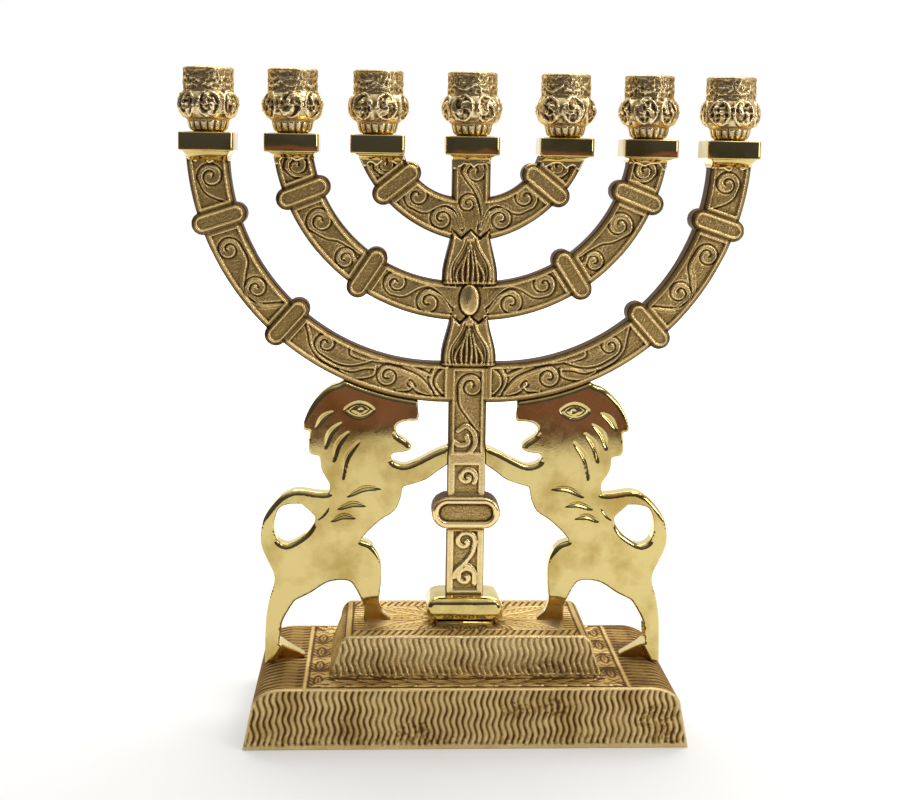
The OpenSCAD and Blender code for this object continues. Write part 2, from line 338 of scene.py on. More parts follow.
def new_mesh(name, points, faces, layers=None):
    """points in mm, faces of any size as a list of arrays of equal row length."""
    mesh = bpy.data.meshes.new(name)
    mesh.vertices.add(len(points))
    mesh.vertices.foreach_set("co", (np.asarray(points, float) * MM).astype(np.float32).ravel())
    loops = np.concatenate([f.ravel() for f in faces]).astype(np.int32)
    sizes = np.concatenate([np.full(len(f), f.shape[1]) for f in faces]).astype(np.int32)
    mesh.loops.add(len(loops))
    mesh.loops.foreach_set("vertex_index", loops)
    mesh.polygons.add(len(sizes))
    mesh.polygons.foreach_set("loop_start", (np.cumsum(sizes) - sizes).astype(np.int32))
    mesh.polygons.foreach_set("loop_total", sizes)
    mesh.polygons.foreach_set("use_smooth", np.ones(len(sizes), bool))
    for layer, values in (layers or {}).items():
        attribute = mesh.attributes.new(layer, "FLOAT", "POINT")
        attribute.data.foreach_set("value", np.asarray(values, np.float32))
    mesh.update(calc_edges=True)
    mesh.validate()
    return mesh


def new_object(name, data):
    piece = bpy.data.objects.new(name, data)
    bpy.context.scene.collection.objects.link(piece)
    return piece


def add_piece(name, points, faces, material, *nodes, slot="cast_brass", body=BODY, layers=None):
    """A made piece that rides a body and stands in place of the CAD nodes it covers."""
    mesh = new_mesh(name, points, faces, layers)
    mesh.materials.append(material)
    piece = new_object(name, mesh)
    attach(piece, body)
    if nodes:
        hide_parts(*nodes)


def add_pair(part, ending, points, faces, layers, material, slot="cast_brass"):
    """A right-hand piece and its mirror image, each in place of its own node."""
    for side in ("right", "left"):
        node = "%s_%s" % (part, side)
        add_piece(node + ending, points, faces, material, node, slot=slot, layers=layers)
        points, faces = points * [-1, 1, 1], [f[:, ::-1] for f in faces]


def blurred(values, mask, cells):
    """A soft average over the inside of a grid."""
    kernel = hump(np.arange(-2 * cells, 2 * cells + 1), cells)
    total, weight = np.where(mask, values, 0), mask.astype(float)
    for axis in (0, 1):
        total = np.apply_along_axis(np.convolve, axis, total, kernel, "same")
        weight = np.apply_along_axis(np.convolve, axis, weight, kernel, "same")
    return total / np.maximum(weight, 1e-6)


def cut_grid(shape, low, high, gap):
    """A square grid cut to a flat shape, with its rim moved onto the outline."""
    xs = np.arange(low[0] - 2 * gap, high[0] + 3 * gap, gap)
    zs = np.arange(low[1] - 2 * gap, high[1] + 3 * gap, gap)
    x, z = np.meshgrid(xs, zs, indexing="ij")
    ok = shape(x, z) < 0.5 * gap
    cell = ok[:-1, :-1] & ok[1:, :-1] & ok[:-1, 1:] & ok[1:, 1:]
    count = np.zeros(x.shape, int)
    for i in (0, 1):
        for j in (0, 1):
            count[i:count.shape[0] - 1 + i, j:count.shape[1] - 1 + j] += cell
    rim = (count > 0) & (count < 4)
    for _ in range(2):
        d = shape(x, z)
        gx, gz = np.gradient(d, gap)
        size = np.maximum(gx * gx + gz * gz, 0.25)
        x, z = np.where(rim, x - d * gx / size, x), np.where(rim, z - d * gz / size, z)
    index = -np.ones(x.shape, int)
    used = count > 0
    index[used] = np.arange(used.sum())
    quads = np.stack([index[:-1, :-1][cell], index[1:, :-1][cell],
                      index[1:, 1:][cell], index[:-1, 1:][cell]], 1)
    return x, z, used, quads


def rim_edges(faces):
    """Directed edges that only one face uses."""
    edges = np.stack([faces.T, np.roll(faces, -1, 1).T], -1).reshape(-1, 2)
    size = faces.max() + 1
    keys = edges[:, 0] * size + edges[:, 1]
    return edges[~np.isin(keys, edges[:, 1] * size + edges[:, 0])]


def rim_of(faces, count):
    """A skin's rim: its directed edges, its points, and the place of each point in the rim."""
    edges = rim_edges(faces)
    rim = np.unique(edges)
    place = -np.ones(count, int)
    place[rim] = np.arange(len(rim))
    return edges, rim, place


def rim_loops(edges):
    """The closed loops that directed edges make, as lists of point numbers."""
    following = dict(edges.tolist())
    loops = []
    while following:
        v = next(iter(following))
        loops.append([])
        while v in following:
            loops[-1].append(v)
            v = following.pop(v)
    return loops


def plate(shape, low, high, relief, gap=GRID, back_y=None):
    """A flat plate with relief on both faces, or with a plain back at depth back_y.

    relief(x, z) gives how far the front stands from the middle plane, its polish and
    its tone; without a tone, hollows are dark and ridges bright.
    """
    both = back_y is None
    x, z, used, quads = cut_grid(shape, low, high, gap)
    fx, fz = x[used], z[used]
    out, polish, tone = relief(fx, fz)
    if tone is None:
        grid = np.zeros(x.shape)
        grid[used] = out
        tone = out - blurred(grid, used, max(int(1.1 / gap), 2))[used]
    count = len(out)
    edges, rim, place = rim_of(quads, count)
    front = np.stack([fx, -out, fz], 1)
    back = np.stack([fx, out if both else np.full(count, back_y), fz], 1)
    inset = np.array([0, 0.4 if both else 0.1, 0])
    points = np.vstack([front, front[rim] + inset, back[rim] - inset, back if both else back[rim]])
    (a, b), (ra, rb) = edges.T, place[edges].T
    upper, lower, last = count, count + len(rim), count + 2 * len(rim)
    faces = [quads, np.stack([b, a, upper + ra, upper + rb], 1),
             np.stack([upper + rb, upper + ra, lower + ra, lower + rb], 1)]
    if both:
        faces += [np.stack([lower + rb, lower + ra, last + a, last + b], 1), quads[:, ::-1] + last]
    else:
        faces += [np.stack([lower + rb, lower + ra, last + ra, last + rb], 1)]
        faces += [np.array([place[loop[::-1]] + last]) for loop in rim_loops(edges)]
    layers = {}
    for name, values, fall in (("relief", tone, 0.35), ("polish", polish, 1.0)):
        side = values[rim] - fall
        layers[name] = np.concatenate([values, side, side, values if both else values[rim]])
    return points, faces, layers


# ---- relief of the stem and arms ----

def frame_sd(x, z):
    """The whole flat frame, stem and arms together."""
    ax = np.abs(x)
    parts = [post_sd(x, z)]
    for arm in ARMS.values():
        parts += [arm_sd(arm, ax, z)] + knop_sds(arm, ax, z)
    return np.minimum.reduce(parts)


def panel_sd(x, z):
    """The recessed panels, inside the thin ridges."""
    ax = np.abs(x)
    stem = np.maximum(ax - STEM_HALF + BORDER, np.maximum(FOOT_TOP + 1 - z, z - ARM_TOP + 3))
    stem = np.where(z < 100, stem + 0.5, stem)
    stem = np.maximum(stem, 1 - knob_sd(x, z))
    stem = np.maximum(stem, -band_sd(z, 96.4, 100.8))
    stem = np.maximum(stem, -band_sd(z, 131.6, 133.4))
    for name, arm in ARMS.items():
        d = arm_sd(arm, ax, z) + BORDER
        for k in knop_sds(arm, ax, z):
            d = np.maximum(d, 0.9 - k)
        if name == "outer":
            d = np.maximum(d, STEM_HALF + 1.4 - ax)
        stem = np.minimum(stem, d)
    return stem


def bell_height(x, z, top, lip):
    """Two side petals that part like an arch, and between them flame-like flutes on the lip."""
    t = clamp((top - z) / (top - lip))
    ax, half = np.abs(x), bell_half(t)
    s = ax / half
    arch = 0.2 + 0.42 * step(0.2, 0.72, t) - 0.05 * step(0.8, 1.0, t)
    h = 0.7 - 1.1 * step(0.82, 1.0, s)
    fan = step(arch, arch - 0.05, s) * step(0.2, 0.28, t)
    ribs = np.zeros(x.shape)
    for place, start in ((-0.46, 0.5), (-0.27, 0.34), (-0.09, 0.26), (0.1, 0.32), (0.28, 0.4), (0.46, 0.54)):
        line = half * place * (0.45 + 0.62 * step(start - 0.1, 0.86, t) - 0.1 * step(0.86, 1.0, t))
        line = line + 0.16 * np.sin(11 * t + 9 * place)
        width = 0.12 + 0.24 * step(start, start + 0.3, t)
        rib = hump(x - line, width) * step(start - 0.04, start + 0.02, t)
        ribs = np.maximum(ribs, rib)
    h -= fan * (0.95 - 1.15 * ribs)
    h -= 0.8 * hump((s - arch - 0.03) * half, 0.3) * step(0.1, 0.25, t)
    h += 0.5 * hump((s - arch - 0.12) * half, 0.3) * step(0.12, 0.25, t)
    h += 0.45 * hump((s - 0.84) * half, 0.3)
    zigzag = np.abs(ax - 2.4 * clamp(t / 0.2)) + 9 * (t > 0.22)
    h += 0.3 * hump(zigzag, 0.36) + 0.45 * hump(z - lip - 0.5, 0.4)
    return h


def bell_half(t):
    """Half width of a bell, t from 0 at its top to 1 at its lip."""
    return STEM_HALF + (BELL_HALF - STEM_HALF) / 2 * (1 - np.cos(np.radians(200 * t)))


def bell_top(x, top):
    """The zigzag upper edge of a bell, three points of petals."""
    return top - 1 - 3.4 * np.abs(np.abs(np.abs(x) - 3.4) / 3.4 - 1) ** 0.8 * step(7.2, 6.4, np.abs(x))


def panel_figures(x, z):
    """The thin-lined scrolls of the arms and the stem, over the floor of the panels."""
    ax = np.abs(x)
    lines = Relief(ax, z)
    for name, arm in ARMS.items():
        if ax.max() < 8 and name == "outer":
            continue
        for place, radius, side, tail in SCROLLS[name]:
            outside = 1 if side == "outer" else -1
            lines.ridge(arm_scroll(arm, place, radius, side, tail), outside, LOW_BAND)
        for line in OUTER_LINES if name == "outer" else ():
            lines.ridge(smooth_curve([on_arm(arm, p) for p in line]), 1)
    figures = lines.height()
    if ax.min() < STEM_HALF:
        stem = Relief(x, z)
        for centre, radius, (leave, turn), tail in STEM_SCROLLS:
            stem.ridge(scroll_line(spiral(centre, radius, leave, turn), tail), -turn, LOW_BAND)
        for centre, radius, (leave, turn), tail in BROAD_SCROLLS:
            stem.ribbon(scroll_line(spiral(centre, radius, leave, turn, 1.0), tail))
        for line in STEM_HOOKS:
            stem.ribbon(smooth_curve(line))
        own = stem.height()
        figures = np.where((ax < STEM_HALF) & (np.abs(own) > np.abs(figures)), own, figures)
    return figures


def panel_relief(x, z, depth, low_part, stipple):
    """Height of the panels with their scrolls, of their borders, and where the panels are."""
    panel, figures = panel_sd(x, z), panel_figures(x, z)
    inside = step(0.1, -0.5, panel)
    h = -PANEL_DEPTH * inside + inside * (figures + stipple * (np.abs(figures) < 0.15))
    h += (RIDGE_H * hump(panel, RIDGE_W) + 0.05) * (1 - low_part)
    h -= 0.62 * clamp(1 - depth / BORDER) * (1 - low_part) + edge_drop(depth, 0.55)
    return h, inside


def add_knops(x, z, h, polish, inside, stipple):
    """The knops across the arms, each with a thin ridge inside its edge and painted shade on the bevel
    outside that ridge.
    """
    for arm in ARMS.values():
        for k in knop_sds(arm, np.abs(x), z):
            top = 0.62 - 0.8 * clamp(1 + k / BORDER) - edge_drop(-k, 0.5)
            top += (RIDGE_H + 0.1) * hump(k + BORDER, RIDGE_W)
            top += (stipple - 0.12) * step(-BORDER, -BORDER - 0.4, k)
            h = np.where(k < 0, np.maximum(h, top), h - 0.3 * hump(k - 0.4, 0.35) * inside)
            # painted shade: the border bevel of each knop is set to negative polish, which darkens its
            # colour
            polish = np.where((k < 0) & (k > 0.3 - BORDER), -0.6, polish)
    return h, polish


def add_knob(x, z, h, polish, stipple):
    """The knob low on the stem, a stippled tray with a polished rim."""
    k = knob_sd(x, z)
    tray = 1.7 - edge_drop(-k, 1.3) - 1.2 * step(-2.2, -2.9, k) + stipple * (k < -2.9)
    return np.where(k < 0, tray, h), np.where(k < 0, step(-2.9, -2.3, k), polish)


def add_bells(x, z, h, stipple):
    """The bells, with a cut line above their zigzag tops and another below their lips."""
    ax = np.abs(x)
    for top, lip in BELLS:
        above = z - bell_top(x, top)
        gap = step(1.3, 0.5, above) * step(-0.3, 0.1, above) * (bell_sd(x, z, top + 2, lip) < 0)
        h = h - 0.55 * gap * (ax < 7)
        d = np.maximum(bell_sd(x, z, top, lip), above)
        body = bell_height(x, z, top, lip) + 0.3 - edge_drop(-d, 0.55) + stipple * 0.5
        h = np.where(d < 0, body, h)
        h -= 0.5 * hump(z - lip + 0.6, 0.45) * (ax < 7.5) * (z < lip)
    return h


def add_bud(x, z, h, polish):
    """The oval bud that grows out of the lower bell, with a painted highlight as a vertical streak of polish
    just left of its middle.
    """
    z0, half_w, half_h = BUD
    top, lip = BELLS[1]
    oval = (np.hypot(x / half_w, (z - z0) / half_h) - 1) * half_w
    clear = np.maximum(bell_sd(x, z, top, lip), z - bell_top(x, top)) > 0
    dome = 0.25 + 0.95 * np.sqrt(clamp(-oval / half_w))
    h = h - 0.35 * hump(oval - 0.4, 0.3) * clear
    bud = (oval < 0) & clear
    # painted highlight: the polish streak at x = -0.7 lightens the bud's colour
    return np.where(bud, np.maximum(h, dome), h), np.where(bud, 0.9 * hump(x + 0.7, 0.8), polish)


def frame_relief(x, z):
    """How far the frame's front stands from its middle plane, and how polished it is, with painted shade on
    the upper border bevels carried as negative polish.
    """
    depth = -frame_sd(x, z)
    low_part = step(104, 99, z)
    stipple = rng.normal(0, 0.06, x.shape)
    h, inside = panel_relief(x, z, depth, low_part, stipple)
    polish = 0.8 * low_part * step(-0.25, -0.05, h)
    h, polish = add_knops(x, z, h, polish, inside, stipple)
    h, polish = add_knob(x, z, h, polish, stipple)
    h, polish = add_bud(x, z, add_bells(x, z, h, stipple), polish)
    # painted shade: worn marks the border bevels of the upper stem and arms, darkest at the outline, which
    # are darkened through negative polish in place of the dark room they reflect
    worn = (1 - low_part) * clamp(1.25 - depth / BORDER) * (depth < BORDER - 0.25)
    # the tips were ground bright together with the platforms, down to a wavy line
    ground = step(0.0, 0.45, z - ARM_TOP + 1.4 + 4.2 * hills(x, 0 * z, 2.4, 61))
    h += ground * (0.3 - edge_drop(depth, 0.55) - h)
    # the painted bevel shade (worn) lowers the polish here, which darkens the colour
    polish = polish * (1 - ground) + ground - 1.4 * worn * (1 - ground)
    return HALF_T + h, polish, None


def build_stem(material):
    """The flat post with its knob, bells and bud."""
    low, high = (-KNOB["length"] / 2, FOOT_TOP - 1), (KNOB["length"] / 2, ARM_TOP)
    points, faces, layers = plate(post_sd, low, high, frame_relief)
    add_piece("stem_relief", points, faces, material, "stem", layers=layers)


def build_arm(name, material):
    """Both arms of a pair, from the stem to the platforms, with their knops."""
    arm = ARMS[name]

    def shape(x, z):
        bells = [-bell_sd(x, z, *bell) for bell in BELLS]
        body = np.maximum.reduce([arm_sd(arm, x, z), STEM_HALF - x] + bells)
        return np.minimum.reduce([body] + knop_sds(arm, x, z))
    high_x = arm_edge(arm, "low")[0][0] + arm["low"][2] + 3
    skin = plate(shape, (STEM_HALF, arm["low"][1] - 1), (high_x, ARM_TOP), frame_relief)
    add_pair("arm_" + name, "_relief", *skin, material)


# ---- lofted polished blocks ----

# How far the cove under each platform runs down, and from the middle one outward, how far it leans
COVE_DROPS = (3.4, 1.9, 2.4, 1.6, 1.7, 1.6, 3.0)
COVE_LEANS = (0.0, 1.9, 0.9, 0.5)


def rounded_rectangle(half_x, half_y, radius):
    angles = np.radians(np.linspace(0, 90, 8))
    points = []
    for k, (sx, sy) in enumerate([(1, 1), (-1, 1), (-1, -1), (1, -1)]):
        a = angles + math.radians(90 * k)
        points.append(np.stack([sx * (half_x - radius) + radius * np.cos(a),
                                sy * (half_y - radius) + radius * np.sin(a)], 1))
    return np.vstack(points)


def loft(sections):
    """Closed solid through level sections (z, centre x, half x, half y, corner radius)."""
    rings = []
    for z, cx, hx, hy, r in sections:
        ring = rounded_rectangle(hx, hy, min(r, hx, hy))
        rings.append(np.column_stack([ring[:, 0] + cx, ring[:, 1], np.full(len(ring), z)]))
    n = len(rings[0])
    i = np.arange(n)
    quads = [np.stack([k * n + i, k * n + (i + 1) % n, (k + 1) * n + (i + 1) % n, (k + 1) * n + i], 1)
             for k in range(len(rings) - 1)]
    faces = quads + [np.array([i[::-1]]), np.array([i + (len(rings) - 1) * n])]
    return np.vstack(rings), faces


def pillow(z, height, half_x, half_y, radius, corner, cx):
    """Sections of a block whose top and bottom edges are rounded by radius."""
    angles = np.radians(np.linspace(90, 0, 7))
    inset, rise = radius * (1 - np.cos(angles)), radius * (1 - np.sin(angles))
    inset, level = np.append(inset, inset[::-1]), np.append(z + rise, z + height - rise[::-1])
    return [(at, cx, half_x - i, half_y - i, corner) for at, i in zip(level, inset)]


def build_platform(i, material):
    """The polished block under a cup, with a cove that runs down into the arm."""
    x, drop = CUP_X[i], COVE_DROPS[i]
    lean = -np.sign(x) * COVE_LEANS[abs(i - 3)]
    cove = []
    for t in np.linspace(0, 1, 9):
        narrow = math.sqrt(1 - (1 - t) ** 2)
        cove.append((ARM_TOP - drop * (1 - t), x + lean * (1 - t),
                     STEM_HALF + 0.4 + (PLATFORM_W / 2 - STEM_HALF - 1.6) * t ** 3,
                     HALF_T + 0.2 + (PLATFORM_D / 2 - HALF_T - 1.2) * narrow ** 3, 0.8))
    block = pillow(ARM_TOP, PLATFORM_H, PLATFORM_W / 2, PLATFORM_D / 2, 0.55, 1.3, x)
    arm = ("outer", "middle", "inner", "")[min(i, 6 - i)]
    node = "arm_%s_%s" % (arm, "left" if i < 3 else "right") if arm else "stem"
    add_piece("platform_%d" % (i + 1), *loft(cove + block), material, node)


def cushion(z, height, half_x, half_y):
    """Sections of the loaf-shaped foot: high round shoulders at its ends, a flatter face."""
    def fall(start, depth, drop):
        """How far a rounded edge has come in, above the height start."""
        return drop * (1 - np.sqrt(1 - clamp((rise - start) / depth) ** 2))

    shoulder = height - 5 + 5 * np.sin(np.radians(np.linspace(0, 90, 22)))
    rise = np.concatenate([np.linspace(0, 2.6, 9), shoulder])
    under = 3.2 * (1 - np.sqrt(1 - clamp(1 - rise / 3.2) ** 2))
    wide = half_x - 0.25 * under - fall(height - 5, 5, 4.4)
    deep = half_y - 0.7 * under - fall(height - 2.6, 2.6, 3.6) - 0.5 * rise / height
    return [(z + r, 0, w, d, 2.4) for r, w, d in zip(rise, wide, deep)]


def build_foot(material):
    """The loaf-shaped foot of the stem, on a smaller ledge."""
    ledge = [(BASE_H + rise, 0, FOOT_W / 2 - 2.3, FOOT_D / 2 - 2.2, 1.5) for rise in (-0.4, 2.4)]
    block = cushion(BASE_H + 2.1, FOOT_TOP - BASE_H - 2.1, FOOT_W / 2, FOOT_D / 2)
    add_piece("stem_foot", *loft(ledge + block), material, "stem")


# ---- lions ----

LION_GRID = 0.36
HIND_X = 52                        # the hind feet stand beyond this, the front feet within it
EYE = (39.8, 116.4)
MANE_CUTS = [[(49.4, 115.9), (53, 113.4), (55.7, 109.3)], [(46.4, 111.7), (50.4, 107.6), (52.2, 101.8)],
             [(43.6, 108.4), (47.6, 103.4), (49, 96.9)], [(39.7, 105), (44.4, 98.4), (45.6, 90)]]
RIB_CUTS = [[(31.4, 87.2), (38, 87.2), (44.3, 83.9)], [(37, 80.6), (42, 81.4), (47.8, 79.3)],
            [(40.7, 75.9), (45.4, 76.8), (50.1, 74.6)]]
TAIL_TIP = [(51.9, 83.6), (51.2, 79.9), (53, 76.8), (55.2, 75)]


def outline_of(node, y):
    """Closed loops round a CAD node's flat face at depth y, as (x, z) in mm."""
    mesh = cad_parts[node].data
    co = np.array([v.co for v in mesh.vertices]) / MM
    mesh.calc_loop_triangles()
    tris = np.array([t.vertices for t in mesh.loop_triangles])
    tris = tris[np.all(np.abs(co[tris][:, :, 1] - y) < 0.02, 1)]
    flat, index = np.unique(np.round(co[:, [0, 2]], 3), axis=0, return_inverse=True)
    return [flat[loop] for loop in rim_loops(rim_edges(index.reshape(-1)[tris]))]


def slash(cut, line, x, z, half, depth):
    """A V-shaped chisel cut that runs out at both ends."""
    line = smooth_curve(line)
    d, _ = nearest(x, z, line)
    chord = line[-1] - line[0]
    t = ((x - line[0, 0]) * chord[0] + (z - line[0, 1]) * chord[1]) / (chord @ chord)
    width = half * np.sin(np.pi * clamp(t)) ** 0.7 + 1e-3
    return np.maximum(cut, depth * (width / half) * clamp(1.15 - d / width))


def eye_cut(x, z):
    """An almond outline with a second lid line, and a small round pupil."""
    u, v = (x - EYE[0]) / 5.3, (z - EYE[1]) / 2.5
    cut = np.zeros(x.shape)
    for size, deep in ((1.0, 0.45), (0.66, 0.34)):
        lid = (np.abs(v) / size - (1 - (u / size) ** 2)) * size
        cut = np.maximum(cut, deep * hump(lid, 0.17) * (np.abs(u) < size))
    r = np.hypot(x - EYE[0] + 0.6, z - EYE[1])
    return np.maximum(cut, 0.4 * step(0.95, 0.6, r))


def softened(loop, gap=0.9, spread=0.8):
    """An outline with its small corners rounded, but sharp where it meets base, arm and stem."""
    closed = resampled(np.vstack([loop, loop[:1]]), gap)[:-1]
    kernel = hump(np.arange(-3, 4) * gap, spread)
    kernel /= kernel.sum()
    soft = sum(k * np.roll(closed, i - 3, 0) for i, k in enumerate(kernel))
    x, z = closed.T
    sharp = ((x > HIND_X) & (z < 31)) | ((x < 41) & (z < 40)) | (z > 119.5) | (x < 8)
    return np.where(sharp[:, None], closed, soft)


def foot_slopes(x, z):
    """How far the feet thin out towards their toes, and how far the hind legs flare above."""
    hind = clamp((70.9 - 0.5 * (z - 21.7) - x) / 9) * step(30.2, 29.2, z) * (x > HIND_X)
    front = clamp((40.6 - 0.1 * (z - 36.3) - x) / 9) * step(46.6, 41.8, z) * (x < 45)
    toe = np.maximum(hind, front)
    rise = z - LOWER["high"]
    flare = 1.25 * clamp((11 - rise) / 11) * step(0.1, 0.0, toe) * (x > HIND_X)
    return 1.5 * toe, flare


def lion_relief(loops):
    """The faces of a lion: rounded rim, cut eye, mane, ribs and tail tip, thinned feet."""
    def relief(x, z):
        depth = -polygon_sd(x, z, loops)
        upward = (depth + polygon_sd(x, z + 0.4, loops)) / 0.4
        cut = eye_cut(x, z)
        for lines, half, deep in ((MANE_CUTS, 0.85, 0.75), (RIB_CUTS, 0.95, 0.75), ([TAIL_TIP], 0.5, 0.45)):
            for line in lines:
                cut = slash(cut, line, x, z, half, deep)
        facing_up = step(0.25, 0.75, upward) * (z > 48)
        edge = 0.5 * facing_up * np.clip(1.5 - depth, 0, 1.5) + edge_drop(depth, 0.4)
        sole, flare = foot_slopes(x, z)
        # the toe slopes also go out as the polish layer, which makes the lion colour browner there: a
        # painted reflection of the base on the sloped toes, on top of the real slope
        return LION_T / 2 + flare - edge - cut - sole, clamp(sole / 0.5), None
    return relief


def build_lions(material):
    """Both lions, from the outline of the CAD one and down to the tops of the two steps."""
    loops = [softened(loop) for loop in outline_of("lion_right", -LION_T / 2)]
    low, high = np.vstack(loops).min(0), np.vstack(loops).max(0)

    def shape(x, z):
        sole = np.where(x > HIND_X, LOWER["high"], BASE_H) - 0.6
        return np.maximum(polygon_sd(x, z, loops), sole - z)
    skin = plate(shape, low, high, lion_relief(loops), LION_GRID)
    add_pair("lion", "_polished", *skin, material, "polished_brass")


# ---- the base's engraved skins ----

LOWER = dict(top_w=130, bottom_w=BASE_W, low=0.0, high=21.7, shoulder=(11, 6.4), depth=LOWER_D)
UPPER = dict(top_w=84, bottom_w=98.6, low=21.7, high=BASE_H, shoulder=(3.9, 5.3), depth=41.0)
SKIN = 0.12                        # how far the skins' middle stands off the casting
SUNK = 0.5                         # how far their backs are sunk into it
BAND_GRID = 0.33


def wander(x, z):
    """A slow drift, so that no two grooves are quite alike."""
    return 0.5 * np.sin(x / 17 + 1.1) + 0.35 * np.sin(x / 7.3 + z / 5) + 0.2 * np.sin(x / 3.1 - z / 3.7)


def hills(x, z, size, seed):
    """Smooth random hills about size mm across."""
    local = np.random.default_rng(seed)
    table = local.random((64, 64))
    u, v = x / size + 311.7, z / size + 173.3
    i, j = np.floor(u).astype(int), np.floor(v).astype(int)
    fu, fv = u - i, v - j
    fu, fv = fu * fu * (3 - 2 * fu), fv * fv * (3 - 2 * fv)
    near, far = (table[a % 64, j % 64] * (1 - fv) + table[a % 64, (j + 1) % 64] * fv for a in (i, i + 1))
    return near * (1 - fu) + far * fu


def groove_rows(across, along, period, wave, swing, width):
    """Depth from 0 to 1 of wavy grooves, steep on one side and easy on the other."""
    drift = 0.8 * wander(across * 0.6, along * 0.3) + 0.16 * np.sin(along / 1.3 + across * 0.9)
    phase = across + swing * np.sin(2 * np.pi * along / wave + 1.2 * wander(across, 0)) + 0.35 * drift
    d = (phase / period) % 1 * period - 0.4 * period
    return hump(d, np.where(d < 0, width, 1.7 * width))


def pits(x, z, seed, amount, spots=()):
    """Rough patches where the casting is flawed, some of them at known spots (x, z, size)."""
    patch = 0.3 * step(0.75, 0.9, hills(x, z, 9, seed)) * amount
    for px, pz, size in spots:
        near = hump(np.hypot(x - px, 1.6 * (z - pz)), size)
        patch = np.maximum(patch, step(0.3, 0.7, near * (0.6 + 0.8 * hills(x, z, 3, seed + 3))))
    return patch * step(0.4, 0.8, hills(x, z, 0.75, seed + 1))


def block_outline(block, grow=0.0):
    """Right half of a step's outline from its foot to the middle of its top."""
    sw, sh = block["shoulder"]
    a = np.radians(np.linspace(0, 90, 24))
    arc = np.stack([block["top_w"] / 2 + (sw + grow) * np.cos(a),
                    block["high"] - sh + (sh + grow) * np.sin(a)], 1)
    foot = [(block["bottom_w"] / 2 + grow, block["low"])]
    return np.vstack([foot, arc, [(0, block["high"] + grow)]])


def block_sd(block):
    """Signed distance of a step's front, to just outside its casting."""
    right = block_outline(block, 0.35)
    loop = np.vstack([right, right[::-1] * [-1, 1]])

    def distance(x, z):
        return polygon_sd(x, z, [loop])
    return distance


PITTED = {"base_lower": [(-20, 7, 8), (-16, 2.6, 6), (18, 14, 7), (31, 15, 6), (67, 12, 9), (71, 4, 6)],
          "base_upper": [(30, 25, 5), (20, 23.5, 4)]}


def band_relief(name, block, strip, seed):
    """The grooved front of a step: a rim line at the top and ends, a plain strip at the foot."""
    sd, foot = block_sd(block), block["low"] + strip

    def relief(x, z):
        edge = -sd(x, z)
        top = edge + np.where(z < block["low"] + 3, 9, 0)
        ragged = 0.7 * hills(x, z, 1.6, seed + 7)
        field = step(0.45, 0.8, top) * step(foot + ragged, foot + 0.5 + ragged, z)
        depth = 0.6 + 0.6 * hills(x, z, 2.5, seed + 9)
        cut = field * groove_rows(x, z, 2.2, 8.2, 0.5, 0.34) * depth
        rough = field * pits(x, z, seed, 1.0, PITTED[name])
        h = 0.36 - 0.66 * cut - 0.5 * rough + 0.12 * hump(top - 0.35, 0.25)
        h += rng.normal(0, 0.03, x.shape) * field - edge_drop(edge, 0.5)
        crumbly = (hills(x, z, 0.8, seed + 4) - 0.5) * step(block["low"] + 8, block["low"] + 2, z)
        cloud = step(0.5, 0.9, hills(x, z, 11, seed + 2))
        tone = 0.13 - 0.5 * cut - 0.2 * rough + 0.04 * step(0.6, 0.2, top)
        tone += (0.3 * crumbly - 0.08 * cloud) * field
        tone += 0.16 if block is UPPER else 0.0
        return block["depth"] / 2 + np.maximum(h + SKIN, 0.02), np.zeros(x.shape), tone
    return relief


def build_band(name, block, material, strip, seed):
    """The grooved skins of a step's front and back."""
    low = (-block["bottom_w"] / 2 - 1, block["low"])
    high = (block["bottom_w"] / 2 + 1, block["high"] + 1)
    relief, back_y = band_relief(name, block, strip, seed), SUNK - block["depth"] / 2
    points, faces, layers = plate(block_sd(block), low, high, relief, BAND_GRID, back_y)
    for side, turn in (("_front", 1), ("_back", -1)):
        add_piece(name + side, points * [turn, turn, 1], faces, material, layers=layers)


def resampled(line, gap):
    run = np.concatenate([[0], np.cumsum(np.hypot(*np.diff(line, axis=0).T))])
    at = np.linspace(0, run[-1], int(run[-1] / gap) + 1)
    return np.stack([np.interp(at, run, line[:, 0]), np.interp(at, run, line[:, 1])], 1)


def leaf(x, y, base, angle, length, half):
    """Cut of an engraved leaf: its rim, its rib and slanting veins."""
    along, v = turned(x, y, base, angle)
    u = along / length
    inside = (u > 0) & (u < 1)
    shape = half * np.sin(np.pi * clamp(u) ** 0.8)
    cut = hump(np.abs(v) - shape, 0.27) * inside
    cut = np.maximum(cut, 0.9 * hump(v, 0.22) * inside * (u < 0.85))
    slant = (along - np.abs(v) * 1.3) / 2.6 % 1
    return np.maximum(cut, 0.8 * hump(slant - 0.5, 0.1) * inside * (np.abs(v) < shape))


PALMETTE = [(90, 10.8, 1.5), (66, 10.2, 1.6), (114, 10.2, 1.6), (38, 6.0, 1.5), (142, 6.0, 1.5)]


def palmettes(a, b, pitch):
    """A row of five-leaved fans along b, in a strip 7.6 mm wide across a, cut 0 to 1 deep."""
    b = b % pitch
    cut = np.zeros(a.shape)
    covered = np.zeros(a.shape, bool)
    for angle, length, half in PALMETTE:
        along, v = turned(a, b, (0, 3.2), angle)
        u = along / length
        inside = (u > 0) & (u < 1)
        shape = half * np.sin(np.pi * clamp(u) ** 1.3)
        outline = hump(np.abs(v) - shape, 0.38) * inside
        vein = 0.8 * hump(v, 0.26) * (u > 0.3) * (u < 0.75)
        cut = np.where(covered, cut, np.maximum(cut, np.maximum(outline, vein)))
        covered |= inside & (np.abs(v) < shape)
    chevron = np.abs(b - 2.2 + 0.9 * np.abs(a))
    return np.maximum(cut, 0.8 * hump(chevron, 0.34) * ~covered)


